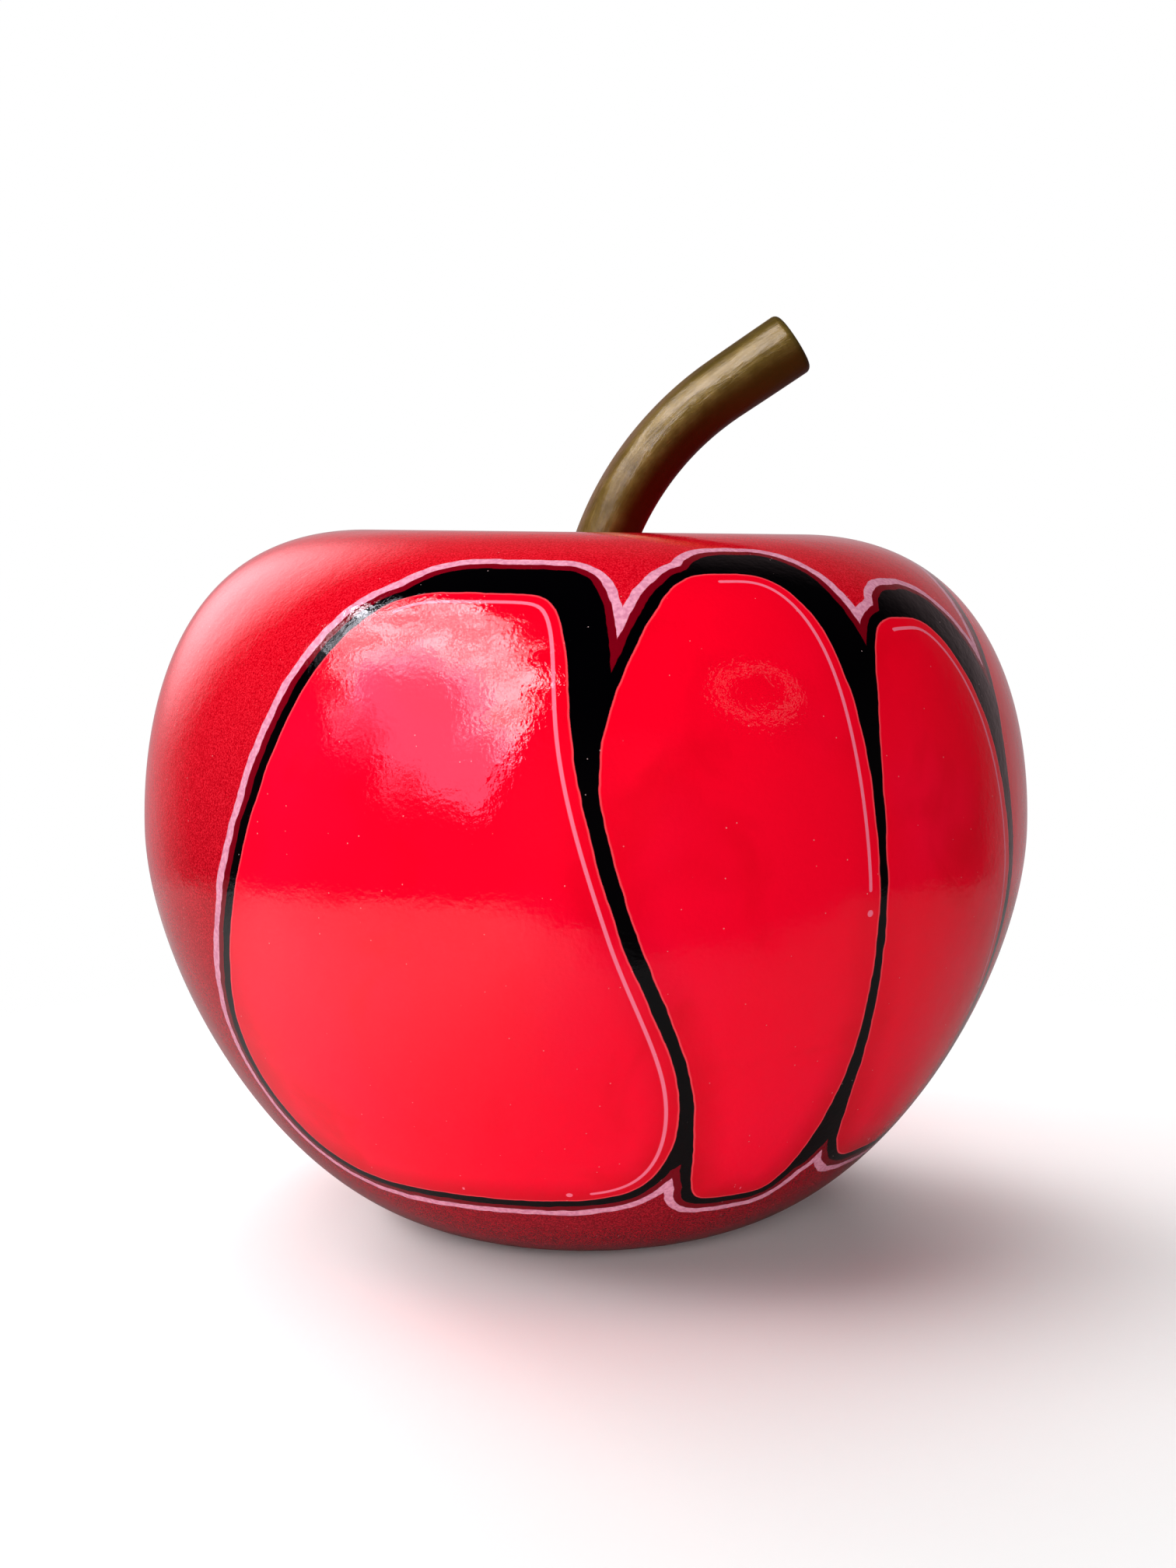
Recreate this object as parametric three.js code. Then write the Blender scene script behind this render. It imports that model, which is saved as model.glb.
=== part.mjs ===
// A decorative apple sculpture: a round lacquered body with a dimpled crown and a flat foot,
// and a curved bronze stem that stands in a socket at the bottom of the dimple.
//
// Millimetres, +Z up. The origin is the centre of the foot, on the surface that the apple
// stands on. +X is the way the stem leans, and the stem bends in the XZ plane.

import * as THREE from "three";

// ---- Driving dimensions: body ------------------------------------------------------------
const BODY_RADIUS = 150;
const EQUATOR_HEIGHT = 137;
const FOOT_RADIUS = 46.5;
const CREST_RADIUS = 74;
const CREST_HEIGHT = 234.3;
const DIMPLE_DEPTH = 40;

// How far each Bezier handle of the outline reaches along its tangent.
const FOOT_REACH = 55.6;
const BELLY_REACH = 51.5;
const SHOULDER_REACH = 39.6;
const CREST_OUTER_REACH = 62.9;
const CREST_INNER_REACH = 34;
const DIMPLE_FLOOR_REACH = 22;

// The crown is not quite level: it drops towards +X by this slope, blended in from LEAN_START.
const CROWN_SLOPE = 0.011;
const LEAN_START = 150;

// ---- Driving dimensions: stem ------------------------------------------------------------
const STEM_RADIUS = 10.5;
const STEM_TIP_RADIUS = 11.0;
const STEM_BEND_RADIUS = 106.3;
const STEM_BEND_ANGLE = THREE.MathUtils.degToRad(56.2);
const STEM_STRAIGHT = 27.9;
const STEM_FLARE_LENGTH = 60;
const STEM_FOOT_CHAMFER = 1;
const STEM_TIP_ROUND = 2.2;

// ---- Driving dimensions: where the stem stands in the body --------------------------------
const GAP = 0.3;
const SOCKET_DEPTH = 14;
const SEAT_WIDTH = 3;

// ---- Fineness of the facets ---------------------------------------------------------------
const BODY_SECTORS = 72;
const BODY_STEPS_PER_CURVE = 14;
const STEM_SECTORS = 28;
const STEM_STEP = 5;
const TIP_STEPS = 4;

// ---- Colours and finish -------------------------------------------------------------------
const LACQUER = { color: 0xd10a2c, roughness: 0.12, metalness: 0.0 };
const AGED_BRONZE = { color: 0x7d6436, roughness: 0.38, metalness: 1.0 };

// ---- Values worked out from the dimensions ------------------------------------------------
const SEAT_HEIGHT = CREST_HEIGHT - DIMPLE_DEPTH;
const SOCKET_RADIUS = STEM_RADIUS + GAP;
const SEAT_RADIUS = SOCKET_RADIUS + SEAT_WIDTH;
const SOCKET_FLOOR = SEAT_HEIGHT - SOCKET_DEPTH;
const STEM_ARC_LENGTH = STEM_BEND_RADIUS * STEM_BEND_ANGLE;
const STEM_START = GAP - SOCKET_DEPTH;
const STEM_END = STEM_ARC_LENGTH + STEM_STRAIGHT;

// Half of the body's section, from the middle of the foot, round the belly and over the crest,
// down the dimple and into the stem's socket.
function bodyOutline() {
  const outline = new THREE.Path();
  outline.moveTo(0, 0);
  outline.lineTo(FOOT_RADIUS, 0);
  outline.bezierCurveTo(
    FOOT_RADIUS + FOOT_REACH, 0,
    BODY_RADIUS, EQUATOR_HEIGHT - BELLY_REACH,
    BODY_RADIUS, EQUATOR_HEIGHT,
  );
  outline.bezierCurveTo(
    BODY_RADIUS, EQUATOR_HEIGHT + SHOULDER_REACH,
    CREST_RADIUS + CREST_OUTER_REACH, CREST_HEIGHT,
    CREST_RADIUS, CREST_HEIGHT,
  );
  outline.bezierCurveTo(
    CREST_RADIUS - CREST_INNER_REACH, CREST_HEIGHT,
    SEAT_RADIUS + DIMPLE_FLOOR_REACH, SEAT_HEIGHT,
    SEAT_RADIUS, SEAT_HEIGHT,
  );
  outline.lineTo(SOCKET_RADIUS, SEAT_HEIGHT);
  outline.lineTo(SOCKET_RADIUS, SOCKET_FLOOR);
  outline.lineTo(0, SOCKET_FLOOR);
  return outline.getPoints(BODY_STEPS_PER_CURVE);
}

// Turns an outline about the Z axis.
function turned(outline, sectors) {
  const geometry = new THREE.LatheGeometry(outline, sectors);
  geometry.rotateX(Math.PI / 2);
  return geometry;
}

// Lowers the crown on the +X side and raises it on the other, as on a real apple.
function leanCrown(geometry) {
  const position = geometry.attributes.position;
  for (let i = 0; i < position.count; i += 1) {
    const height = position.getZ(i);
    const blend = THREE.MathUtils.smoothstep(height, LEAN_START, CREST_HEIGHT);
    position.setZ(i, height - CROWN_SLOPE * blend * position.getX(i));
  }
  return geometry;
}

// The stem's radius at a distance along it, measured from the dimple's floor.
function stemRadius(along) {
  const flare = THREE.MathUtils.smoothstep(along, STEM_END - STEM_FLARE_LENGTH, STEM_END);
  return THREE.MathUtils.lerp(STEM_RADIUS, STEM_TIP_RADIUS, flare);
}

// Half of the straight stem's section, from the middle of its foot to the middle of its tip.
// The flat tip has a rounded edge.
function stemOutline() {
  const outline = [];
  outline.push(new THREE.Vector2(0, STEM_START));
  outline.push(new THREE.Vector2(STEM_RADIUS - STEM_FOOT_CHAMFER, STEM_START));
  outline.push(new THREE.Vector2(STEM_RADIUS, STEM_START + STEM_FOOT_CHAMFER));
  const shaftEnd = STEM_END - STEM_TIP_ROUND;
  const steps = Math.ceil(shaftEnd / STEM_STEP);
  for (let i = 0; i <= steps; i += 1) {
    const along = (shaftEnd * i) / steps;
    outline.push(new THREE.Vector2(stemRadius(along), along));
  }
  const edgeRadius = stemRadius(shaftEnd) - STEM_TIP_ROUND;
  for (let i = 1; i <= TIP_STEPS; i += 1) {
    const angle = (Math.PI / 2) * (i / TIP_STEPS);
    const radius = edgeRadius + STEM_TIP_ROUND * Math.cos(angle);
    outline.push(new THREE.Vector2(radius, shaftEnd + STEM_TIP_ROUND * Math.sin(angle)));
  }
  outline.push(new THREE.Vector2(0, STEM_END));
  return outline;
}

// Bends a straight stem, which stands on the Z axis, round an arc towards +X. Below the
// dimple's floor it stays upright, and past the arc it runs on straight.
function bendStem(geometry) {
  const position = geometry.attributes.position;
  for (let i = 0; i < position.count; i += 1) {
    const across = position.getX(i);
    const along = position.getZ(i);
    const onArc = THREE.MathUtils.clamp(along, 0, STEM_ARC_LENGTH);
    const past = along - onArc;
    const angle = onArc / STEM_BEND_RADIUS;
    const sin = Math.sin(angle);
    const cos = Math.cos(angle);
    const x = STEM_BEND_RADIUS * (1 - cos) + past * sin + across * cos;
    const z = STEM_BEND_RADIUS * sin + past * cos - across * sin;
    position.setX(i, x);
    position.setZ(i, z);
  }
  return geometry;
}

// A named mesh with smooth shading.
function namedMesh(name, geometry, finish) {
  geometry.computeVertexNormals();
  const mesh = new THREE.Mesh(geometry, new THREE.MeshStandardMaterial(finish));
  mesh.name = name;
  return mesh;
}

function appleBody() {
  const geometry = leanCrown(turned(bodyOutline(), BODY_SECTORS));
  return namedMesh("apple_body", geometry, LACQUER);
}

function appleStem() {
  const geometry = bendStem(turned(stemOutline(), STEM_SECTORS));
  const mesh = namedMesh("apple_stem", geometry, AGED_BRONZE);
  mesh.position.set(0, 0, SEAT_HEIGHT);
  return mesh;
}

const apple = new THREE.Group();
apple.add(appleBody());
apple.add(appleStem());

export default apple;
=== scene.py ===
"""The looks of a decorative apple sculpture: a clear-coated, hand-painted body and an aged
bronze stem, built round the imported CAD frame, on a round pale floor under soft lamps.

Metres, +Z up. The shown side faces -Y, and +X is the way the stem leans. The sculpture's sizes
are written in millimetres and multiplied by MM, which is the frame's own millimetre.
"""

import math

import bpy
import numpy as np
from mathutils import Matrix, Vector


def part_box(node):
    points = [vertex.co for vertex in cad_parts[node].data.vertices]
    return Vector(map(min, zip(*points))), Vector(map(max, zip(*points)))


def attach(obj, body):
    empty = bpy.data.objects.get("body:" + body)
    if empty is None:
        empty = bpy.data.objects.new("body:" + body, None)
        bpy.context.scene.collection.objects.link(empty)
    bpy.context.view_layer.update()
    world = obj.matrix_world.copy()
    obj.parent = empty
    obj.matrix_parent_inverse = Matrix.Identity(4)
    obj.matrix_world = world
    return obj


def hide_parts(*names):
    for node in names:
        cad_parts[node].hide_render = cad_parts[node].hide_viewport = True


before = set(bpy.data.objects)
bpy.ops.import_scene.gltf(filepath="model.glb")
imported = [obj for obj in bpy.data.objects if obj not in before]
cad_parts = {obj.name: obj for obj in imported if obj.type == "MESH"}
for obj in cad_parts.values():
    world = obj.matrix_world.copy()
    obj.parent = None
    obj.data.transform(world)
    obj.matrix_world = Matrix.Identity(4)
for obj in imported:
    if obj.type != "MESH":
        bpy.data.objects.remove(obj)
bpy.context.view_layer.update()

# ---- Driving dimensions, in millimetres ---------------------------------------------------
BODY_RADIUS = 150.0
EQUATOR_HEIGHT = 137.0
FOOT_RADIUS = 46.5
CREST_RADIUS = 74.0
CREST_HEIGHT = 234.3
DIMPLE_DEPTH = 40.0
FOOT_REACH = 55.6
BELLY_REACH = 51.5
SHOULDER_REACH = 39.6
CREST_OUTER_REACH = 62.9
CREST_INNER_REACH = 34.0
DIMPLE_FLOOR_REACH = 22.0
CROWN_SLOPE = 0.011
LEAN_START = 150.0

STEM_RADIUS = 10.5
STEM_TIP_RADIUS = 11.0
STEM_BEND_RADIUS = 106.3
STEM_BEND_ANGLE = math.radians(56.2)
STEM_STRAIGHT = 27.9
STEM_FLARE_LENGTH = 60.0
STEM_TIP_ROUND = 2.2
STEM_FOOT_CHAMFER = 1.0
SOCKET_DEPTH = 14.0
SOCKET_GAP = 0.3
SEAT_WIDTH = 3.0

SEAT_HEIGHT = CREST_HEIGHT - DIMPLE_DEPTH
SOCKET_RADIUS = STEM_RADIUS + SOCKET_GAP
SEAT_RADIUS = SOCKET_RADIUS + SEAT_WIDTH
STEM_BEND = STEM_BEND_RADIUS * STEM_BEND_ANGLE

BODY_LOW, BODY_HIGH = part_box("apple_body")
MM = (BODY_HIGH.x - BODY_LOW.x) / (2 * BODY_RADIUS)

# ---- The painted ring of petals -----------------------------------------------------------
# Each petal lies between two dividing lines. A divider is a smooth curve through five azimuths,
# evenly spaced from its bottom to its top, in degrees from the front round towards +X. The last
# divider closes the last petal, and the ground shows between it and the first.
DIVIDERS = [
    (-54.5, -53, -45.4, -38.9, -32),
    (15.5, 12.3, 4.3, -0.6, -1.4),
    (36.5, 36.5, 35.2, 34.3, 35.3),
    (69, 67, 64, 60.5, 58),
    (111, 107, 109, 110, 105),
    (151, 155, 149, 145, 149),
    (196, 193, 198, 203, 200),
    (246, 249, 250, 248, 251),
]
# Each petal's lowest and highest point, as millimetres along the body's outline from the middle
# of the foot. corners: how square its top left, top right, bottom left and bottom right are.
# lean: degrees that its left side leans in near the top. stripe: where its pinstripe starts and
# ends, as shares of the way round it.
PETALS = [
    {"span": (118, 318.5), "corners": (3.1, 8.5, 4.1, 5.4), "lean": -2, "stripe": (0.46, 0.93)},
    {"span": (116, 328), "corners": (3.0, 3.2, 9.0, 4.2), "lean": 6, "stripe": (0.51, 0.75)},
    {"span": (124, 309), "corners": (3.4, 3.2, 3.4, 4.2), "lean": 0, "stripe": (0.48, 0.82)},
    {"span": (119, 326), "corners": (2.6, 4.4, 4.4, 4.2), "lean": 5, "stripe": (0.42, 0.90)},
    {"span": (122, 314), "corners": (2.6, 3.2, 3.8, 4.4), "lean": 6, "stripe": (0.46, 0.76)},
    {"span": (117, 324), "corners": (2.8, 4.6, 4.4, 4.6), "lean": 4, "stripe": (0.41, 0.92)},
    {"span": (121, 309), "corners": (2.6, 3.2, 4.6, 4.0), "lean": 6, "stripe": (0.45, 0.80)},
]
LEAN_FROM = 0.65          # the lean starts at this share of a petal's height
PETAL_GAP = 1.7           # from a divider to the petal's side
EDGE_WIDTH = 3.3          # black round each petal
SHADE_AZIMUTH = 4.3       # degrees that the black shade lies past its petal
SHADE_RISE = 9.5          # millimetres that it lies above its petal
SHADE_GROWTH = 1.5        # and that it is wider than its petal all round
STRIPE_INSET = 3.7        # from a petal's edge to its pinstripe
STRIPE_WIDTH = 1.1
STRIPE_WOBBLE = 0.35      # a pinstripe strays this far to either side
STRIPE_WAVE = 17.0        # this far along a pinstripe is one radian of its wave
DOT_PAST_STRIPE = 7.0     # the dot that finishes a stripe lies this far past its end
DOT_RADIUS = 1.0
HALO_GAP = 2.3            # darker ground between the black and the pale line round it
HALO_WIDTH = 2.9
FIELD_LIMIT = 60.0        # distances to the painted shapes are kept up to this
FIELDS = (
    "petal_even",
    "petal_odd",
    "shade_even",
    "shade_odd",
    "stripe_side",
    "stripe_before",
    "stripe_past",
)

# ---- Fineness of the meshes ---------------------------------------------------------------
BODY_SECTORS = 480
BODY_STEP = 2.2
STEM_SECTORS = 96
STEM_STEP = 1.6
OUTLINE_POINTS = 360      # round a petal
CURVE_POINTS = 400        # on each outer curve, before its points are spaced evenly
FOOT_POINTS = 24
DIMPLE_RINGS = 27
SEAT_RINGS = 2
SOCKET_RINGS = 4
SOCKET_FLOOR_RINGS = 3
TIP_RINGS = 8
SHARP_ANGLE = math.radians(50)


# ---- Shape of the body --------------------------------------------------------------------
def smooth_step(share):
    """0 to 1 with a smooth start and end, for shares from 0 to 1."""
    share = np.clip(share, 0, 1)
    return share * share * (3 - 2 * share)


def bezier(start, first, second, end, count):
    """Points of a cubic curve, without its start."""
    t = np.linspace(0.0, 1.0, count + 1)[1:, None]
    start, first, second, end = (np.array(p, float) for p in (start, first, second, end))
    return (
        (1 - t) ** 3 * start
        + 3 * (1 - t) ** 2 * t * first
        + 3 * (1 - t) * t**2 * second
        + t**3 * end
    )


def through(values, share):
    """A smooth curve through evenly spaced values, at shares of the way along it."""
    values = np.array(values, float)
    slopes = np.gradient(values)
    place = np.clip(share, 0, 1) * (len(values) - 1)
    here = np.minimum(place.astype(int), len(values) - 2)
    t = place - here
    blend = smooth_step(t)
    pull = (t**3 - 2 * t**2 + t) * slopes[here] + (t**3 - t**2) * slopes[here + 1]
    return values[here] * (1 - blend) + values[here + 1] * blend + pull


def straight(start, end, count):
    """Points of a straight stretch, without its start."""
    t = np.linspace(0.0, 1.0, count + 1)[1:, None]
    return np.array(start, float) * (1 - t) + np.array(end, float) * t


def outer_outline():
    """(radius, height) from the middle of the foot, round the belly, to the crest."""
    return np.vstack([
        [(0.0, 0.0)],
        straight((0, 0), (FOOT_RADIUS, 0), FOOT_POINTS),
        bezier(
            (FOOT_RADIUS, 0),
            (FOOT_RADIUS + FOOT_REACH, 0),
            (BODY_RADIUS, EQUATOR_HEIGHT - BELLY_REACH),
            (BODY_RADIUS, EQUATOR_HEIGHT),
            CURVE_POINTS,
        ),
        bezier(
            (BODY_RADIUS, EQUATOR_HEIGHT),
            (BODY_RADIUS, EQUATOR_HEIGHT + SHOULDER_REACH),
            (CREST_RADIUS + CREST_OUTER_REACH, CREST_HEIGHT),
            (CREST_RADIUS, CREST_HEIGHT),
            CURVE_POINTS,
        ),
    ])


def inner_outline():
    """(radius, height) from the crest, down the dimple, into the stem's socket, to the axis."""
    floor = SEAT_HEIGHT - SOCKET_DEPTH
    return np.vstack([
        bezier(
            (CREST_RADIUS, CREST_HEIGHT),
            (CREST_RADIUS - CREST_INNER_REACH, CREST_HEIGHT),
            (SEAT_RADIUS + DIMPLE_FLOOR_REACH, SEAT_HEIGHT),
            (SEAT_RADIUS, SEAT_HEIGHT),
            DIMPLE_RINGS,
        ),
        straight((SEAT_RADIUS, SEAT_HEIGHT), (SOCKET_RADIUS, SEAT_HEIGHT), SEAT_RINGS),
        straight((SOCKET_RADIUS, SEAT_HEIGHT), (SOCKET_RADIUS, floor), SOCKET_RINGS),
        straight((SOCKET_RADIUS, floor), (0, floor), SOCKET_FLOOR_RINGS),
    ])


def arc_lengths(outline):
    """How far along the outline each of its points is."""
    steps = np.linalg.norm(np.diff(outline, axis=0), axis=1)
    return np.concatenate([[0.0], np.cumsum(steps)])


OUTER = outer_outline()
OUTER_ARC = arc_lengths(OUTER)


def lean_crown(points):
    """Lowers the crown towards +X, as the CAD body has it. Changes points in place."""
    blend = smooth_step((points[:, 2] - LEAN_START) / (CREST_HEIGHT - LEAN_START))
    points[:, 2] -= CROWN_SLOPE * blend * points[:, 0]
    return points


def on_body(azimuth, arc):
    """Points on the body's outer side, from azimuths in degrees and places along its outline."""
    radius = np.interp(arc, OUTER_ARC, OUTER[:, 0])
    height = np.interp(arc, OUTER_ARC, OUTER[:, 1])
    turn = np.radians(azimuth)
    points = np.stack([radius * np.sin(turn), -radius * np.cos(turn), height], axis=1)
    return lean_crown(points)


# ---- Shape of the painted petals ----------------------------------------------------------
class Petal:
    """One rounded panel, or its shade, as a closed outline on the body."""

    def __init__(self, number, past=0.0, rise=0.0):
        facts = PETALS[number]
        self.left, self.right = DIVIDERS[number], DIVIDERS[number + 1]
        self.low, self.high = facts["span"]
        self.middle, self.half = (self.low + self.high) / 2, (self.high - self.low) / 2
        self.corners, self.lean = facts["corners"], facts["lean"]
        self.past, self.rise = past, rise

    def sides(self, arc):
        """The petal's middle and half its width, in degrees, before its corners are rounded."""
        share = np.clip((arc - self.rise - self.low) / (self.high - self.low), 0, 1)
        left, right = (through(divider, share) for divider in (self.left, self.right))
        left = left + self.lean * smooth_step((share - LEAN_FROM) / (1 - LEAN_FROM))
        radius = np.interp(arc, OUTER_ARC, OUTER[:, 0])
        gap = np.degrees(PETAL_GAP / np.maximum(radius, 1.0))
        return (left + right) / 2 + self.past, (right - left) / 2 - gap

    def level(self, arc):
        """-1 at the petal's bottom, 1 at its top."""
        return (arc - self.rise - self.middle) / self.half

    def squareness(self, level, on_right):
        """How square the nearest corner is, as the power of a rounded square."""
        top_left, top_right, bottom_left, bottom_right = self.corners
        top = np.where(on_right, top_right, top_left)
        bottom = np.where(on_right, bottom_right, bottom_left)
        return np.where(level > 0, top, bottom)

    def outline(self):
        """Points round the petal: from the middle of its bottom, up its left side and over."""
        turn = np.linspace(0, 2 * np.pi, 4 * OUTLINE_POINTS, endpoint=False)
        across, level = -np.sin(turn), -np.cos(turn)
        power = self.squareness(level, across > 0)
        reach = (np.abs(across) ** power + np.abs(level) ** power) ** (1 / power)
        across, level = across / reach, level / reach
        arc = self.middle + self.half * level + self.rise
        centre, width = self.sides(arc)
        points = on_body(centre + width * across, arc)
        closed = np.vstack([points, points[:1]])
        around = arc_lengths(closed)
        even = np.linspace(0, around[-1], OUTLINE_POINTS, endpoint=False)
        return np.stack([np.interp(even, around, closed[:, i]) for i in range(3)], axis=1)

    def holds(self, azimuth, arc):
        """Whether places on the body are inside the petal."""
        centre, width = self.sides(arc)
        level = self.level(arc)
        across = ((azimuth - centre + 180) % 360 - 180) / width
        power = self.squareness(level, across > 0)
        return np.abs(level) ** power + np.abs(across) ** power < 1


def nearest_on_loop(points, loop):
    """Each point's distance to a closed line, how far round it the nearest place is, and how
    long the line is."""
    after = np.roll(loop, -1, axis=0)
    along = after - loop
    lengths = np.linalg.norm(along, axis=1)
    starts = np.concatenate([[0.0], np.cumsum(lengths)[:-1]])
    best = np.full(len(points), np.inf)
    place = np.zeros(len(points))
    chunk = 8000
    for first in range(0, len(points), chunk):
        part = slice(first, first + chunk)
        near = (
            (points[part] ** 2).sum(1)[:, None]
            - 2 * points[part] @ loop.T
            + (loop**2).sum(1)[None]
        ).argmin(1)
        for step in (near - 1, near):
            step = step % len(loop)
            offset = points[part] - loop[step]
            share = (offset * along[step]).sum(1) / (lengths[step] ** 2)
            share = np.clip(share, 0, 1)
            gap = np.linalg.norm(offset - share[:, None] * along[step], axis=1)
            closer = gap < best[part]
            best[part] = np.where(closer, gap, best[part])
            here = starts[step] + share * lengths[step]
            place[part] = np.where(closer, here, place[part])
    return best, place, float(lengths.sum())


def distances(petal, points, azimuth, arc):
    """Signed distances from a petal to the points that are close to it.

    Returns which points those are, their distances, negative inside, how far round the petal
    their nearest places are, and how long the petal is all round.
    """
    loop = petal.outline()
    low, high = loop.min(0) - FIELD_LIMIT, loop.max(0) + FIELD_LIMIT
    close = np.flatnonzero(((points > low) & (points < high)).all(1))
    distance, place, length = nearest_on_loop(points[close], loop)
    inside = petal.holds(azimuth[close], arc[close])
    return close, np.where(inside, -distance, distance), place, length


def painted_fields(points, azimuth, arc):
    """What the paint's shader reads at each point of the body, in millimetres.

    petal_even, petal_odd: distance to the even and the odd petals, negative inside.
    shade_even, shade_odd: the same for their shades.
    stripe_side, stripe_before, stripe_past: how far a point is beside a pinstripe, before its
    start and past its end.
    """
    fields = {name: np.full(len(points), FIELD_LIMIT) for name in FIELDS}
    nearest = np.full(len(points), FIELD_LIMIT)
    for number, facts in enumerate(PETALS):
        parity = "even" if number % 2 == 0 else "odd"
        shade = Petal(number, SHADE_AZIMUTH, SHADE_RISE)
        close, distance, _, _ = distances(shade, points, azimuth, arc)
        field = fields[f"shade_{parity}"]
        field[close] = np.minimum(field[close], distance)
        close, distance, place, length = distances(Petal(number), points, azimuth, arc)
        field = fields[f"petal_{parity}"]
        field[close] = np.minimum(field[close], distance)

        chosen = distance < nearest[close]
        mine, distance, place = close[chosen], distance[chosen], place[chosen]
        nearest[mine] = distance
        start, end = (share * length for share in facts["stripe"])
        wobble = STRIPE_WOBBLE * np.sin(place / STRIPE_WAVE + number)
        fields["stripe_side"][mine] = distance + STRIPE_INSET + wobble
        fields["stripe_before"][mine] = start - place
        fields["stripe_past"][mine] = place - end
    return fields


# ---- Meshes -------------------------------------------------------------------------------
def turned_mesh(name, outline, sectors):
    """A closed mesh turned about Z from an outline that starts and ends on the axis."""
    rings = outline[1:-1]
    turn = np.arange(sectors) * 2 * np.pi / sectors
    around = np.stack([np.sin(turn), -np.cos(turn)], axis=1)
    ring_points = rings[:, None, 0, None] * around[None]
    heights = np.repeat(rings[:, 1], sectors)
    points = np.concatenate([ring_points.reshape(-1, 2), heights[:, None]], axis=1)
    points = np.vstack([points, [0, 0, outline[0, 1]], [0, 0, outline[-1, 1]]])
    first_pole, last_pole = len(points) - 2, len(points) - 1
    here = np.arange(sectors)
    after = (here + 1) % sectors
    faces = []
    for ring in range(len(rings) - 1):
        low, high = ring * sectors, (ring + 1) * sectors
        faces += np.stack([low + here, low + after, high + after, high + here], 1).tolist()
    last = (len(rings) - 1) * sectors
    faces += np.stack([np.full(sectors, first_pole), after, here], 1).tolist()
    faces += np.stack([np.full(sectors, last_pole), last + here, last + after], 1).tolist()
    mesh = bpy.data.meshes.new(name)
    mesh.from_pydata(points.tolist(), [], faces)
    return mesh, points


def placed(mesh, points, name):
    """Gives a mesh its final points, in millimetres, and returns its object."""
    mesh.vertices.foreach_set("co", (points * MM).astype(np.float32).ravel())
    mesh.shade_smooth()
    mesh.set_sharp_from_angle(angle=SHARP_ANGLE)
    mesh.update()
    piece = bpy.data.objects.new(name, mesh)
    bpy.context.scene.collection.objects.link(piece)
    return piece


def even_steps(outline, step):
    """The outline with its points about a step apart, and how far along it each of them is."""
    arc = arc_lengths(outline)
    count = max(1, round(arc[-1] / step))
    even = np.linspace(0, arc[-1], count + 1)
    return np.stack([np.interp(even, arc, outline[:, i]) for i in range(2)], axis=1), even


def add_field(mesh, name, values):
    """Stores a number on each of a mesh's points."""
    attribute = mesh.attributes.new(name, "FLOAT", "POINT")
    attribute.data.foreach_set("value", values.astype(np.float32))


def painted_body():
    """The body, with what its paint reads stored on its points."""
    outer, arc = even_steps(OUTER, BODY_STEP)
    inner = inner_outline()
    outline = np.vstack([outer, inner])
    mesh, points = turned_mesh("apple_body_painted", outline, BODY_SECTORS)
    ring_arc = np.concatenate([arc, np.full(len(inner), OUTER_ARC[-1])])[1:-1]
    vertex_arc = np.concatenate([np.repeat(ring_arc, BODY_SECTORS), [0.0, OUTER_ARC[-1]]])
    azimuth = np.degrees(np.arctan2(points[:, 0], -points[:, 1]))
    points = lean_crown(points)
    for name, values in painted_fields(points, azimuth, vertex_arc).items():
        add_field(mesh, name, values)
    return placed(mesh, points, "apple_body_painted")


def stem_outline():
    """(radius, place along) of the straight stem, from the middle of its foot to its tip's."""
    end = STEM_BEND + STEM_STRAIGHT
    start = SOCKET_GAP - SOCKET_DEPTH
    along = np.linspace(start, end - STEM_TIP_ROUND, round((end - start) / STEM_STEP))
    flare = smooth_step((along - end + STEM_FLARE_LENGTH) / STEM_FLARE_LENGTH)
    radius = STEM_RADIUS + (STEM_TIP_RADIUS - STEM_RADIUS) * flare
    turn = np.linspace(0, np.pi / 2, TIP_RINGS + 1)[1:]
    edge = radius[-1] - STEM_TIP_ROUND
    rounded = np.stack([
        edge + STEM_TIP_ROUND * np.cos(turn),
        end - STEM_TIP_ROUND + STEM_TIP_ROUND * np.sin(turn),
    ], axis=1)
    shaft = np.stack([radius, along], axis=1)
    foot = [(0.0, start), (STEM_RADIUS - STEM_FOOT_CHAMFER, start)]
    face = [(edge * share, end) for share in (0.75, 0.5, 0.25, 0.0)]
    return np.vstack([foot, shaft[1:], rounded, face])


def bronze_stem():
    """The stem, bent towards +X from the dimple's floor up. Its points keep how far along it
    they are, and how far on its underside, from -1 on its upper side to 1."""
    mesh, points = turned_mesh("apple_stem_bronze", stem_outline(), STEM_SECTORS)
    along = points[:, 2].copy()
    across = points[:, 0].copy()
    add_field(mesh, "along", along)
    add_field(mesh, "under_side", across / np.maximum(np.hypot(across, points[:, 1]), 0.001))
    on_arc = np.clip(along, 0, STEM_BEND)
    past = along - on_arc
    sine, cosine = np.sin(on_arc / STEM_BEND_RADIUS), np.cos(on_arc / STEM_BEND_RADIUS)
    points[:, 0] = STEM_BEND_RADIUS * (1 - cosine) + past * sine + across * cosine
    points[:, 2] = SEAT_HEIGHT + STEM_BEND_RADIUS * sine + past * cosine - across * sine
    return placed(mesh, points, "apple_stem_bronze")


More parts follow.
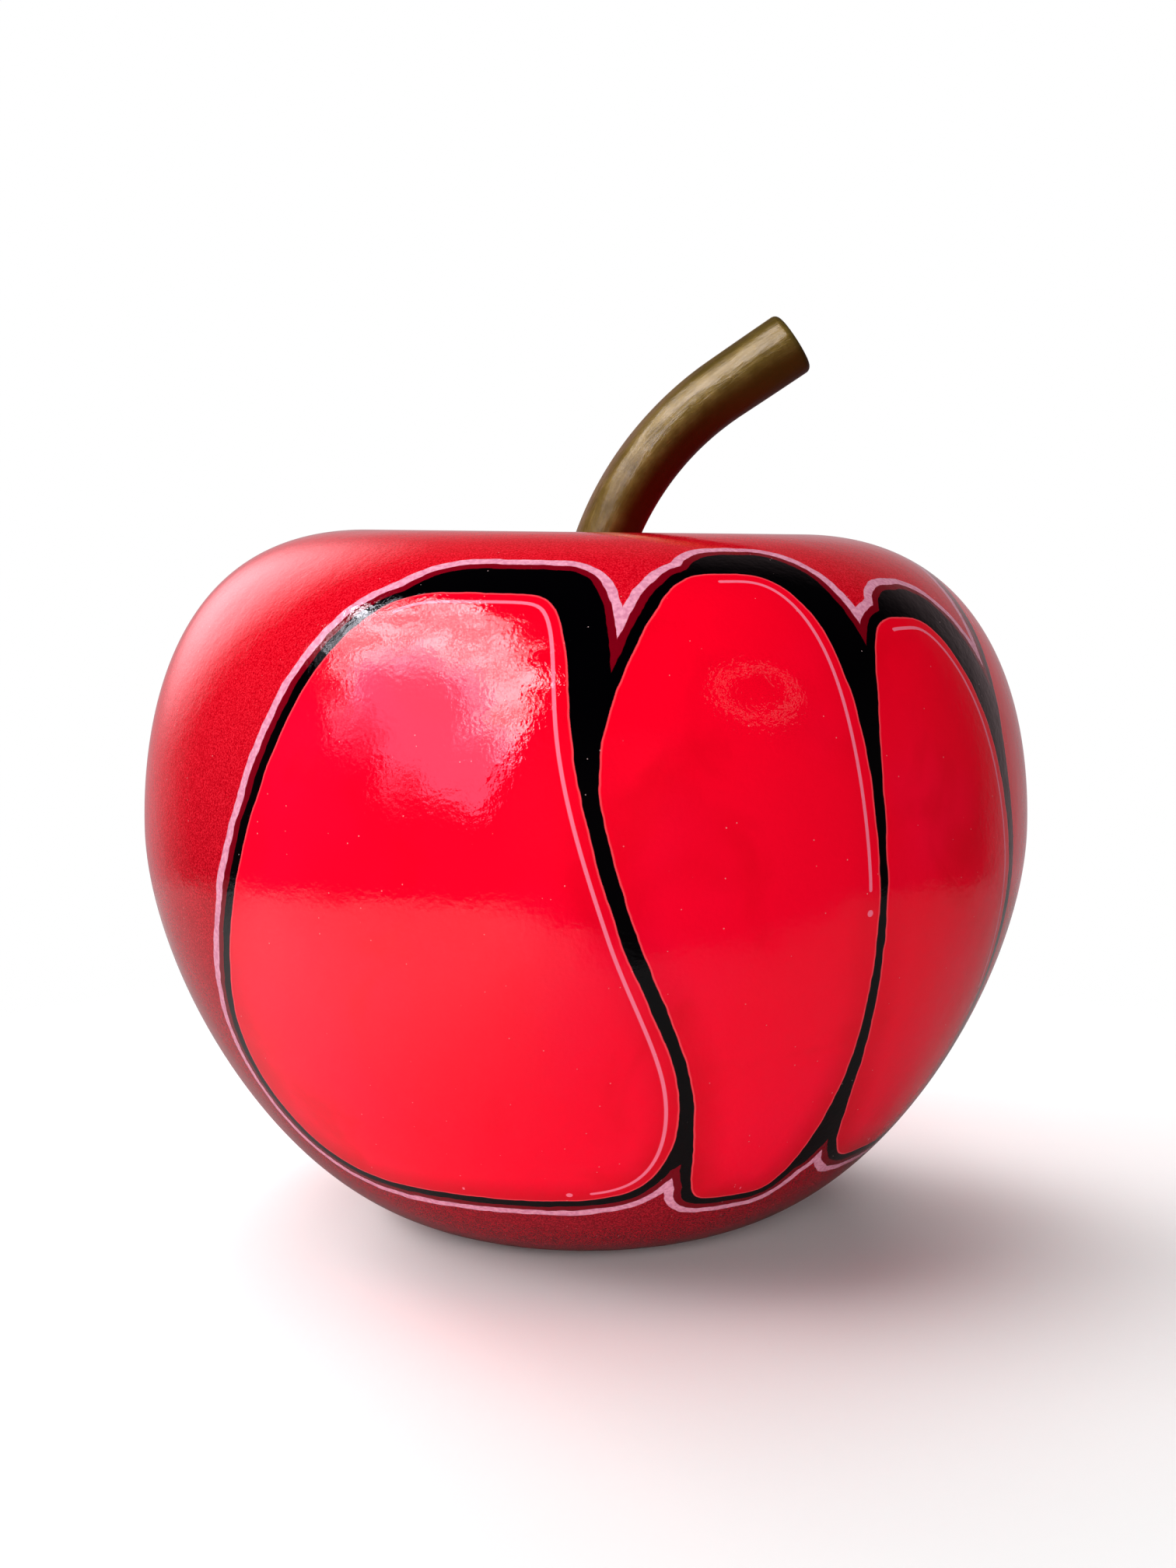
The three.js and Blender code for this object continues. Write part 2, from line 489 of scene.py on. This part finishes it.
# ---- Shader helpers -----------------------------------------------------------------------
class Nodes:
    """A node tree that is built up by short calls. Most of them return an output socket."""

    def __init__(self, tree):
        self.tree = tree
        self.place = None

    def add(self, kind, **settings):
        node = self.tree.nodes.new(kind)
        for name, value in settings.items():
            setattr(node, name, value)
        return node

    def feed(self, socket, value):
        if isinstance(value, bpy.types.NodeSocket):
            self.tree.links.new(value, socket)
        else:
            socket.default_value = value

    def math(self, operation, first, second=0.0):
        node = self.add("ShaderNodeMath", operation=operation)
        self.feed(node.inputs[0], first)
        self.feed(node.inputs[1], second)
        return node.outputs[0]

    def length(self, first, second):
        """The length of a step of first one way and second the other."""
        squares = [self.math("MULTIPLY", value, value) for value in (first, second)]
        return self.math("SQRT", self.math("ADD", *squares))

    def along(self, vector, direction, start=(0.0, 0.0, 0.0)):
        """How far a vector reaches in a direction, from a start."""
        step = self.add("ShaderNodeVectorMath", operation="SUBTRACT")
        self.feed(step.inputs[0], vector)
        self.feed(step.inputs[1], start)
        reach = self.add("ShaderNodeVectorMath", operation="DOT_PRODUCT")
        self.feed(reach.inputs[0], step.outputs[0])
        self.feed(reach.inputs[1], direction)
        return reach.outputs["Value"]

    def off(self, middle):
        """How far self.place is from a middle, level with X and Y."""
        return self.length(
            self.along(self.place, (1.0, 0.0, 0.0), middle),
            self.along(self.place, (0.0, 1.0, 0.0), middle),
        )

    def noise(self, size, detail=2.0, roughness=0.5, distortion=0.0, place=None):
        """Noise from 0 to 1 whose blobs are about size across, in the units of place."""
        node = self.add("ShaderNodeTexNoise")
        self.feed(node.inputs["Vector"], place or self.place)
        node.inputs["Scale"].default_value = 1.0 / size
        node.inputs["Detail"].default_value = detail
        node.inputs["Roughness"].default_value = roughness
        node.inputs["Distortion"].default_value = distortion
        return node.outputs["Fac"]

    def ramp(self, value, low, high, to_low=0.0, to_high=1.0):
        """value mapped smoothly from low..high to to_low..to_high, and held past the ends."""
        node = self.add("ShaderNodeMapRange", interpolation_type="SMOOTHSTEP")
        for name, number in (
            ("Value", value),
            ("From Min", low),
            ("From Max", high),
            ("To Min", to_low),
            ("To Max", to_high),
        ):
            self.feed(node.inputs[name], number)
        return node.outputs["Result"]

    def mix(self, share, first, second):
        node = self.add("ShaderNodeMix", data_type="RGBA")
        for name, value in (("Factor", share), ("A", first), ("B", second)):
            socket = next(s for s in node.inputs if s.name == name and s.enabled)
            self.feed(socket, value)
        return next(s for s in node.outputs if s.enabled)

    def shaken(self, value, noise, amount):
        """value pushed up and down by a noise, by at most about half the amount."""
        return self.math("ADD", value, self.ramp(noise, 0.25, 0.75, -amount / 2, amount / 2))


class Paint(Nodes):
    """A material on one Principled surface."""

    def __init__(self, name):
        self.material = bpy.data.materials.new(name)
        self.material.use_nodes = True
        super().__init__(self.material.node_tree)
        self.surface = self.tree.nodes["Principled BSDF"]
        self.place = self.add("ShaderNodeTexCoord").outputs["Object"]

    def set_values(self, values):
        """Gives the surface's inputs constant values."""
        for name, value in values.items():
            self.surface.inputs[name].default_value = value

    def set_normal(self, normal):
        """Gives the surface and its clear coat the same bumps."""
        self.feed(self.surface.inputs["Normal"], normal)
        self.feed(self.surface.inputs["Coat Normal"], normal)

    def field(self, name):
        """A number that is stored on the mesh's points."""
        return self.add("ShaderNodeAttribute", attribute_name=name).outputs["Fac"]

    def under(self, value, limit, soft=0.25):
        """1 where value is under limit, with an edge soft millimetres wide."""
        return self.ramp(value, limit - soft / 2, limit + soft / 2, 1.0, 0.0)

    def specks(self, size, radius, share):
        """1 in small round dots: one in each cell of about size, in a share of the cells."""
        node = self.add("ShaderNodeTexVoronoi", feature="F1")
        self.feed(node.inputs["Vector"], self.place)
        node.inputs["Scale"].default_value = 1.0 / size
        dot = self.ramp(node.outputs["Distance"], radius / size * 0.6, radius / size, 1.0, 0.0)
        chosen = self.add("ShaderNodeSeparateColor")
        self.feed(chosen.inputs[0], node.outputs["Color"])
        kept = self.math("LESS_THAN", chosen.outputs[0], share)
        return self.math("MULTIPLY", dot, kept)

    def bump(self, height, distance, normal=None):
        node = self.add("ShaderNodeBump")
        node.inputs["Distance"].default_value = distance
        self.feed(node.inputs["Height"], height)
        if normal is not None:
            self.feed(node.inputs["Normal"], normal)
        return node.outputs["Normal"]


def srgb(red, green, blue):
    """A linear colour from the usual 0 to 255 numbers."""
    shares = (c / 255 for c in (red, green, blue))
    linear = (c / 12.92 if c <= 0.04045 else ((c + 0.055) / 1.055) ** 2.4 for c in shares)
    return (*linear, 1.0)


# ---- Body paint ---------------------------------------------------------------------------
# A pair of colours is for low down and for high up, or for the ends of a noise.
GROUND = (srgb(112, 0, 18), srgb(205, 0, 22))
GLITTER_BRIGHT = srgb(240, 34, 54)
GLITTER_DARK = srgb(120, 0, 10)
PETAL_RED = (srgb(254, 2, 44), srgb(255, 0, 34))
PETAL_CLOUD = srgb(255, 6, 56)
PETAL_SHADOW = srgb(226, 0, 24)
PETAL_EDGE_DARK = srgb(196, 0, 20)
PETAL_RIM = srgb(250, 84, 96)
PALE_LINE = (srgb(216, 134, 162), srgb(238, 166, 190))
GROUND_BY_BLACK = srgb(118, 0, 18)
BLACK = srgb(0, 0, 1)
PINSTRIPE = srgb(250, 120, 145)
DUST = srgb(225, 190, 190)

EDGE_DARK_REACH = 13.0               # a darker band reaches this far into a petal from its edge
EDGE_DARK_HEIGHTS = (30.0, 150.0)    # and weakens between these heights
EDGE_DARK_SHARES = (0.6, 0.12)
RIM_FADE = (-0.7, -0.3)             # a light rim shows this near to a petal's edge
RIM_SHARE = 0.6
GLITTER_HEIGHTS = (40.0, 170.0)     # the glitter grows between these heights
GLITTER_SHARES = (0.5, 0.78)
DUST_APART = 3.2
DUST_RADIUS = 0.24
DUST_SHARE = 0.3                    # of the places for a speck that have one
DUST_STRENGTH = 0.45
# The size and the detail of each bump's noise, and how high it rises.
LACQUER_BUMPS = [(28.0, 1.0, 0.30), (5.0, 1.0, 0.08), (1.3, 2.0, 0.06)]


def paint_masks(paint, height):
    """Where each layer of paint lies, as shares from 0 to 1."""
    petal = paint.math("MINIMUM", paint.field("petal_even"), paint.field("petal_odd"))
    petal = paint.shaken(petal, paint.noise(9 * MM), 0.5)
    shade = paint.math("MINIMUM", paint.field("shade_even"), paint.field("shade_odd"))
    shade = paint.math("SUBTRACT", shade, SHADE_GROWTH)
    dark = paint.math("MINIMUM", paint.math("SUBTRACT", petal, EDGE_WIDTH), shade)
    dark = paint.shaken(dark, paint.noise(7 * MM), 0.6)
    from_halo = paint.math("ABSOLUTE", paint.math("SUBTRACT", dark, HALO_GAP + HALO_WIDTH / 2))
    heights = (limit * MM for limit in EDGE_DARK_HEIGHTS)
    strength = paint.ramp(height, *heights, *EDGE_DARK_SHARES)
    side, past = paint.field("stripe_side"), paint.field("stripe_past")
    off_end = paint.math("MAXIMUM", past, paint.field("stripe_before"))
    from_stripe = paint.length(side, paint.math("MAXIMUM", off_end, 0.0))
    from_dot = paint.length(side, paint.math("SUBTRACT", past, DOT_PAST_STRIPE))
    return {
        "petal": paint.under(petal, 0.0),
        "black": paint.under(dark, 0.0),
        "gap": paint.under(dark, HALO_GAP),
        "halo": paint.under(from_halo, HALO_WIDTH / 2),
        "stripe": paint.math(
            "MAXIMUM",
            paint.under(from_stripe, STRIPE_WIDTH / 2),
            paint.under(from_dot, DOT_RADIUS),
        ),
        "rim": paint.ramp(petal, *RIM_FADE, 0.0, RIM_SHARE),
        "edge_dark": paint.math("MULTIPLY", paint.ramp(petal, -EDGE_DARK_REACH, 0.0), strength),
    }


def ground_colour(paint, height, level):
    """Candy red with glitter, darker low down."""
    flake = paint.noise(0.55 * MM, 3.0, 0.75)
    heights = (limit * MM for limit in GLITTER_HEIGHTS)
    glitter = paint.ramp(height, *heights, *GLITTER_SHARES)
    bright = paint.math("MULTIPLY", paint.ramp(flake, 0.45, 0.62), glitter)
    dark = paint.math("MULTIPLY", paint.ramp(flake, 0.42, 0.30), glitter)
    ground = paint.mix(bright, paint.mix(level, *GROUND), GLITTER_BRIGHT)
    return paint.mix(dark, ground, GLITTER_DARK)


def petal_colour(paint, level, masks):
    """Bright red with soft clouds and shadows, darker just inside its edge, most of all low
    down, and rimmed along its edge.
    """
    cloud = paint.noise(70 * MM)
    shadow = paint.noise(48 * MM, 3.0, 0.55, 0.6)
    red = paint.mix(level, *PETAL_RED)
    red = paint.mix(paint.ramp(cloud, 0.45, 0.75, 0.0, 0.5), red, PETAL_CLOUD)
    red = paint.mix(paint.ramp(shadow, 0.50, 0.72, 0.0, 0.5), red, PETAL_SHADOW)
    # Darker just inside the petal's edge, most of all low down.
    red = paint.mix(masks["edge_dark"], red, PETAL_EDGE_DARK)
    return paint.mix(masks["rim"], red, PETAL_RIM)


def lacquer():
    """The layers of the body's paint, one over another, under a thick clear coat."""
    paint = Paint("body_lacquer")
    height = paint.along(paint.place, (0.0, 0.0, 1.0))
    level = paint.ramp(height, 0.0, CREST_HEIGHT * MM)
    masks = paint_masks(paint, height)
    pale = paint.mix(paint.ramp(paint.noise(1.2 * MM), 0.3, 0.7), *PALE_LINE)
    colour = paint.mix(masks["halo"], ground_colour(paint, height, level), pale)
    colour = paint.mix(masks["gap"], colour, GROUND_BY_BLACK)
    colour = paint.mix(masks["black"], colour, BLACK)
    colour = paint.mix(masks["petal"], colour, petal_colour(paint, level, masks))
    colour = paint.mix(masks["stripe"], colour, PINSTRIPE)
    specks = paint.specks(DUST_APART * MM, DUST_RADIUS * MM, DUST_SHARE)
    dust = paint.math("MULTIPLY", specks, DUST_STRENGTH)
    colour = paint.mix(dust, colour, DUST)
    paint.feed(paint.surface.inputs["Base Color"], colour)

    normal = None
    for size, detail, rise in LACQUER_BUMPS:
        normal = paint.bump(paint.noise(size * MM, detail), rise * MM, normal)
    paint.set_normal(normal)
    paint.set_values({
        "Roughness": 0.42,
        "Specular IOR Level": 0.0,
        "Coat Weight": 1.0,
        "Coat Roughness": 0.03,
        "Coat IOR": 1.45,
    })
    return paint.material


# ---- Stem metal ---------------------------------------------------------------------------
BRONZE = (srgb(88, 70, 26), srgb(112, 92, 44))
BRONZE_GRAIN = srgb(70, 54, 22)
BRONZE_WORN = srgb(130, 106, 58)
# A darker brown along the stem's upper side.
UPPER_SIDE_DARKER = srgb(64, 52, 14)
# Painted shade on the stem's underside: dark red near the body, where it stands for a painted
# reflection of the red body, and dark brown near the tip.
UNDERSIDE_PAINTED_SHADE = (srgb(54, 5, 1), srgb(70, 44, 14))     # near the body, and near the tip
PAINTED_SHADE_CHANGE = (70.0, 128.0)        # one turns into the other along this stretch
PAINTED_SHADE_SHARE = 0.95
SPECULAR_TINT = srgb(120, 104, 70)
BRUSH_ALONG = 0.04                      # brush marks are long along the stem
BRUSH_ROUND = 3.6                       # and narrow round it


def brush_marks(paint, side, along):
    """Noise in streaks that run along the stem."""
    stretched = paint.add("ShaderNodeCombineXYZ")
    paint.feed(stretched.inputs["X"], paint.math("MULTIPLY", along, BRUSH_ALONG))
    paint.feed(stretched.inputs["Y"], paint.math("MULTIPLY", side, BRUSH_ROUND))
    return paint.noise(1.0, 5.0, 0.68, 0.5, place=stretched.outputs[0])


def bronze_colour(paint, side, along, blotch, grain, streak):
    """Blotchy brown bronze, worn in streaks, darker along its upper side, with painted shade on
    its underside that is dark red near the body, as a painted reflection of the body.
    """
    colour = paint.mix(paint.ramp(blotch, 0.35, 0.7), *BRONZE)
    colour = paint.mix(paint.ramp(grain, 0.45, 0.75, 0.0, 0.35), colour, BRONZE_GRAIN)
    colour = paint.mix(paint.ramp(streak, 0.5, 0.72, 0.0, 0.5), colour, BRONZE_WORN)
    # Darker towards the stem's upper side.
    colour = paint.mix(paint.ramp(side, -0.95, -0.55, 0.55, 0.0), colour, UPPER_SIDE_DARKER)
    # Painted shade and painted reflection of the body, on the stem's underside.
    under = paint.math("MULTIPLY", paint.ramp(side, -0.25, 0.5), PAINTED_SHADE_SHARE)
    dark = paint.mix(paint.ramp(along, *PAINTED_SHADE_CHANGE), *UNDERSIDE_PAINTED_SHADE)
    return paint.mix(under, colour, dark)


def bronze_coat(paint, side, along, streak):
    """How thick the stem's lacquer is: worn off in streaks, below, and near the body."""
    coat = paint.math(
        "MULTIPLY",
        paint.ramp(side, -0.96, -0.66),
        paint.ramp(side, -0.2, 0.4, 0.34, 0.0),
    )
    coat = paint.math("MULTIPLY", coat, paint.ramp(along, 20.0, 60.0, 0.3, 1.0))
    return paint.math("MULTIPLY", coat, paint.ramp(streak, 0.36, 0.58, 0.35, 1.2))


def aged_bronze():
    """Brown patina over bronze, worn and brushed, under a thin lacquer."""
    paint = Paint("stem_bronze")
    side, along = paint.field("under_side"), paint.field("along")
    blotch = paint.noise(11 * MM, 3.0, 0.6)
    grain = paint.noise(1.2 * MM, 3.0, 0.7)
    streak = brush_marks(paint, side, along)
    colour = bronze_colour(paint, side, along, blotch, grain, streak)
    paint.feed(paint.surface.inputs["Base Color"], colour)
    paint.feed(paint.surface.inputs["Roughness"], paint.ramp(blotch, 0.3, 0.7, 0.34, 0.46))
    paint.feed(paint.surface.inputs["Coat Weight"], bronze_coat(paint, side, along, streak))

    normal = None
    for noise, rise in ((blotch, 0.3), (streak, 0.25), (grain, 0.04)):
        normal = paint.bump(noise, rise * MM, normal)
    paint.set_normal(normal)
    paint.set_values({
        "Metallic": 0.35,
        "Specular IOR Level": 0.25,
        "Specular Tint": SPECULAR_TINT,
        "Coat Roughness": 0.09,
        "Coat IOR": 1.6,
    })
    return paint.material


# ---- Floor, in metres ---------------------------------------------------------------------
FLOOR_RADIUS = 0.80
FLOOR_SIDES = 96
FLOOR_WHITE = srgb(238, 238, 238)
FLOOR_FADE = (0.13, 0.40)         # the floor fades into the background this far out
REFLECTED_FADE = (0.50, 0.68)     # and this far out in reflections
PAINTED_SHADOW_FLOOR = (0.27, -0.68, 0.0)   # a painted shadow: reflections show no floor round here
PAINTED_SHADOW_FADE = (0.36, 0.46)
LIT_FLOOR = (-0.36, -0.38, 0.0)   # a painted pool of light: they show it pale round here, and grey elsewhere
LIT_FADE = (0.24, 0.44)
REFLECTED_PALE = srgb(212, 212, 212)
REFLECTED_GREY = srgb(118, 118, 118)


def floor_paint():
    """Pale and matt. It fades out sooner for the camera than in reflections, where it has a
    painted pool of light and a painted shadow.
    """
    paint = Paint("pale_floor")
    paint.set_values({"Roughness": 0.9, "Specular IOR Level": 0.1})
    glossy = paint.add("ShaderNodeLightPath").outputs["Is Glossy Ray"]
    lit = paint.ramp(paint.off(LIT_FLOOR), *LIT_FADE, 1.0, 0.0)
    reflected = paint.mix(lit, REFLECTED_GREY, REFLECTED_PALE)
    paint.feed(paint.surface.inputs["Base Color"], paint.mix(glossy, FLOOR_WHITE, reflected))

    ragged = paint.noise(0.12, 4.0, 0.6)
    out = paint.off((0.0, 0.0, 0.0))
    near = paint.ramp(out, *FLOOR_FADE, 1.0, 0.0)
    far = paint.ramp(paint.shaken(out, ragged, 0.12), *REFLECTED_FADE, 1.0, 0.0)
    off_dark = paint.shaken(paint.off(PAINTED_SHADOW_FLOOR), ragged, 0.10)
    far = paint.math("MULTIPLY", far, paint.ramp(off_dark, *PAINTED_SHADOW_FADE))
    far = paint.math("MULTIPLY", far, glossy)
    paint.feed(paint.surface.inputs["Alpha"], paint.math("MAXIMUM", far, near))
    return paint.material


def pale_floor():
    """A round pale floor that fades into the white background all round."""
    turn = np.arange(FLOOR_SIDES) * 2 * np.pi / FLOOR_SIDES
    rim = np.stack([FLOOR_RADIUS * np.cos(turn), FLOOR_RADIUS * np.sin(turn), 0 * turn], axis=1)
    mesh = bpy.data.meshes.new("pale_floor")
    mesh.from_pydata(rim.tolist(), [], [list(range(FLOOR_SIDES))])
    mesh.materials.append(floor_paint())
    floor = bpy.data.objects.new("pale_floor", mesh)
    bpy.context.scene.collection.objects.link(floor)


# ---- Lamps, in metres ---------------------------------------------------------------------
# Each lamp is its name, its place, what it faces, its size and its brightness.
FILLS = [
    ("left_fill", (-1.38, -0.32, 0.80), (0.0, 0.0, 0.12), (0.9, 0.9), 6.6),
    ("front_fill", (0.05, -1.30, 0.40), (0.0, 0.0, 0.12), (0.9, 0.7), 6.3),
    ("top_fill", (-0.35, -0.15, 1.50), (0.0, 0.0, 0.0), (1.2, 1.2), 2.3),
    ("rim_fill", (-1.03, 1.23, 0.60), (0.0, 0.0, 0.15), (0.7, 0.7), 13.0),
    ("floor_wash", (0.0, 0.75, 0.9), (0.0, 0.55, 0.0), (1.3, 0.4), 3.0),
]
WASH_SPREAD = math.radians(95)
WINDOW = ("window", (-0.98, -0.82, 1.16), (-0.05, -0.10, 0.19), (2.0, 2.2), 1.0)
LEFT_GLOW = ("left_glow", (-1.03, 1.13, 0.88), (-0.12, 0.0, 0.2), (1.8, 1.8), 1.75)
RING = ("ring_lamp", (1.0, -0.88, 1.08), (0.05, -0.14, 0.20), (0.62, 0.62), 1.2)

# Places and sizes on a lamp are shares of its sides, from one of its corners. A slant is how far
# an oval's long side runs level and how far it drops.
LAMP_MIDDLE = (0.5, 0.5, 0.0)
SKY_MIDDLE = (0.620, 0.448, 0.0)
SKY_SLANT = (0.80, 0.60)
SKY_HALF_SIZE = (0.71, 0.36)
CLEAR_MIDDLE = (0.60, 0.30, 0.0)  # a part of the sky with no cloud
CLEAR_SLANT = (0.86, 0.50)
CLEAR_HALF_SIZE = (0.30, 0.16)
CLOUD_BASE = (0.18, 0.42)         # clouds begin between these heights on the lamp
SKY_BRIGHTNESS = 2.4
SKY_COLOUR = (0.62, 0.80, 1.45, 1.0)
CLOUD_BRIGHTNESS = (1.7, 13.0)
CLOUD_COLOUR = (1.0, 0.98, 1.08, 1.0)
SUN_MIDDLE = (0.06, 0.80, 0.0)
SUN_EDGE = (0.02, 0.06)
SUN_BRIGHTNESS = 22.0
GLOW_EDGE = (0.08, 0.5)
GLOW_COLOUR = (1.6, 1.0, 1.08, 1.0)
RING_RADIUS = 0.40
RING_EDGE = (0.01, 0.055)
WHITE = (1.0, 1.0, 1.0, 1.0)


def softbox(name, place, target, size, brightness):
    """A soft rectangular lamp at place that faces target. brightness is its radiance."""
    lamp = bpy.data.lights.new(name, "AREA")
    lamp.shape = "RECTANGLE"
    lamp.size, lamp.size_y = size
    lamp.energy = brightness * math.pi * size[0] * size[1]
    light = bpy.data.objects.new(name, lamp)
    bpy.context.scene.collection.objects.link(light)
    away = Vector(place) - Vector(target)
    light.location = place
    light.rotation_euler = away.to_track_quat("Z", "Y").to_euler()
    light.visible_camera = False
    return light


def reflection(*lamp):
    """A softbox that shows only as a reflection. Returns its nodes, whose place is on it."""
    light = softbox(*lamp)
    light.visible_diffuse = False
    light.data.use_nodes = True
    nodes = Nodes(light.data.node_tree)
    nodes.place = nodes.add("ShaderNodeNewGeometry").outputs["Parametric"]
    return nodes


def sky_noise(nodes, *settings):
    """Noise across a lamp, from a plane of the noise where it shows no grid."""
    slanted = nodes.add("ShaderNodeMapping")
    nodes.feed(slanted.inputs["Vector"], nodes.place)
    slanted.inputs["Location"].default_value = (1.7, 4.3, 2.9)
    slanted.inputs["Rotation"].default_value = (0.7, 0.4, 0.3)
    return nodes.noise(*settings, place=slanted.outputs["Vector"])


def shine(nodes, strength, colour=WHITE):
    """Gives a lamp a pattern of strength and colour."""
    emission = nodes.tree.nodes["Emission"]
    nodes.feed(emission.inputs["Strength"], strength)
    nodes.feed(emission.inputs["Color"], colour)


def across_oval(nodes, middle, slant, half_size):
    """How far along and beside a slanting oval each place on a lamp is. The oval's edge is 1."""
    (level, drop), (length, breadth) = slant, half_size
    along = nodes.along(nodes.place, (level / length, -drop / length, 0.0), middle)
    beside = nodes.along(nodes.place, (drop / breadth, level / breadth, 0.0), middle)
    return along, beside


def sky_shape(nodes):
    """1 on the patch of sky. Its edge is ragged, and softer low down."""
    along, beside = across_oval(nodes, SKY_MIDDLE, SKY_SLANT, SKY_HALF_SIZE)
    ragged = sky_noise(nodes, 0.15, 7.0, 0.7)
    off = nodes.shaken(nodes.length(along, beside), ragged, 0.6)
    inner_edge = nodes.ramp(beside, -0.6, 0.1, 0.60, 0.94)
    return nodes.ramp(off, inner_edge, 1.0, 1.0, 0.0)


def cloud_cover(nodes):
    """1 where there is cloud, which is high up and outside the clear part."""
    from_clear = nodes.length(*across_oval(nodes, CLEAR_MIDDLE, CLEAR_SLANT, CLEAR_HALF_SIZE))
    ragged = sky_noise(nodes, 0.26, 8.0, 0.65, 1.2)
    outside = nodes.ramp(nodes.shaken(from_clear, ragged, 1.4), 0.8, 1.8)
    height = nodes.along(nodes.place, (0.0, 1.0, 0.0))
    return nodes.math("MULTIPLY", outside, nodes.ramp(height, *CLOUD_BASE))


def cloudy_window():
    """The main reflection: a slanting patch of sky with bright clouds, and a small sun."""
    nodes = reflection(*WINDOW)
    cloud = cloud_cover(nodes)
    billow = nodes.ramp(sky_noise(nodes, 0.15, 6.0, 0.72, 1.5), 0.42, 0.57, *CLOUD_BRIGHTNESS)
    brightness = nodes.math("ADD", nodes.math("MULTIPLY", cloud, billow), SKY_BRIGHTNESS)
    sun = nodes.ramp(nodes.off(SUN_MIDDLE), *SUN_EDGE, SUN_BRIGHTNESS, 0.0)
    sky = nodes.math("MULTIPLY", sky_shape(nodes), brightness)
    white = nodes.math("MAXIMUM", cloud, nodes.ramp(sun, 0.0, 1.0))
    shine(nodes, nodes.math("ADD", sky, sun), nodes.mix(white, SKY_COLOUR, CLOUD_COLOUR))


def left_glow():
    """A soft round glow behind the left, which lights and hazes the paint there."""
    nodes = reflection(*LEFT_GLOW)
    bpy.data.objects["left_glow"].visible_diffuse = True
    shine(nodes, nodes.ramp(nodes.off(LAMP_MIDDLE), *GLOW_EDGE, 1.0, 0.0), GLOW_COLOUR)


def ring_lamp():
    """A faint ring in the reflection, high on the right."""
    nodes = reflection(*RING)
    past_ring = nodes.math("SUBTRACT", nodes.off(LAMP_MIDDLE), RING_RADIUS)
    shine(nodes, nodes.ramp(nodes.math("ABSOLUTE", past_ring), *RING_EDGE, 1.0, 0.0))


def lights():
    """Fills that leave no reflection of their own, and the lamps that the clear coat shows."""
    for lamp in FILLS:
        softbox(*lamp).visible_glossy = False
    bpy.data.lights["floor_wash"].spread = WASH_SPREAD
    cloudy_window()
    left_glow()
    ring_lamp()


# ---- World and camera ---------------------------------------------------------------------
WORLD_TINT = (1.3, 0.95, 1.0, 1.0)
FRONT_AND_BEHIND = (0.03, 0.36)   # the world's brightness towards -Y and towards +Y
LEVEL_AND_ABOVE = (1.0, 0.3)      # shares of it at the horizon and overhead
CAMERA_DISTANCE = 0.70
CAMERA_SIDE = 0.0007
CAMERA_PITCH = math.radians(7.07)
CAMERA_LENS = 46.66
CAMERA_SENSOR = 36.0
CAMERA_NEAREST = 0.01


def studio_world():
    """Dark in front and glowing behind for the reflections, and white to the camera."""
    world = bpy.data.worlds.new("studio")
    bpy.context.scene.world = world
    world.use_nodes = True
    nodes = Nodes(world.node_tree)
    way = nodes.add("ShaderNodeTexCoord").outputs["Generated"]
    behind = nodes.ramp(nodes.along(way, (0.0, 1.0, 0.0)), 0.4, 0.85, *FRONT_AND_BEHIND)
    above = nodes.ramp(nodes.along(way, (0.0, 0.0, 1.0)), 0.1, 0.6, *LEVEL_AND_ABOVE)
    dim = nodes.tree.nodes["Background"]
    dim.inputs["Color"].default_value = WORLD_TINT
    nodes.feed(dim.inputs["Strength"], nodes.math("MULTIPLY", behind, above))
    pale = nodes.add("ShaderNodeBackground")
    pale.inputs["Color"].default_value = WHITE
    path = nodes.add("ShaderNodeLightPath")
    mix = nodes.add("ShaderNodeMixShader")
    nodes.feed(mix.inputs[0], path.outputs["Is Camera Ray"])
    nodes.feed(mix.inputs[1], dim.outputs[0])
    nodes.feed(mix.inputs[2], pale.outputs[0])
    nodes.feed(nodes.tree.nodes["World Output"].inputs["Surface"], mix.outputs[0])


def camera():
    """A camera in front of the shown side, level with the crest and looking down a little."""
    eye = bpy.data.cameras.new("camera")
    eye.lens = CAMERA_LENS
    eye.sensor_width = CAMERA_SENSOR
    eye.clip_start = CAMERA_NEAREST
    view = bpy.data.objects.new("camera", eye)
    bpy.context.scene.collection.objects.link(view)
    view.location = (CAMERA_SIDE, -CAMERA_DISTANCE, CREST_HEIGHT * MM)
    view.rotation_euler = (math.pi / 2 - CAMERA_PITCH, 0.0, 0.0)
    bpy.context.scene.camera = view


# ---- The object ---------------------------------------------------------------------------
body = painted_body()
body.data.materials.append(lacquer())
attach(body, "root")
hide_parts("apple_body")

stem = bronze_stem()
stem.data.materials.append(aged_bronze())
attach(stem, "root")
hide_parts("apple_stem")

pale_floor()
lights()
studio_world()
camera()
bpy.context.scene.view_settings.view_transform = "Standard"
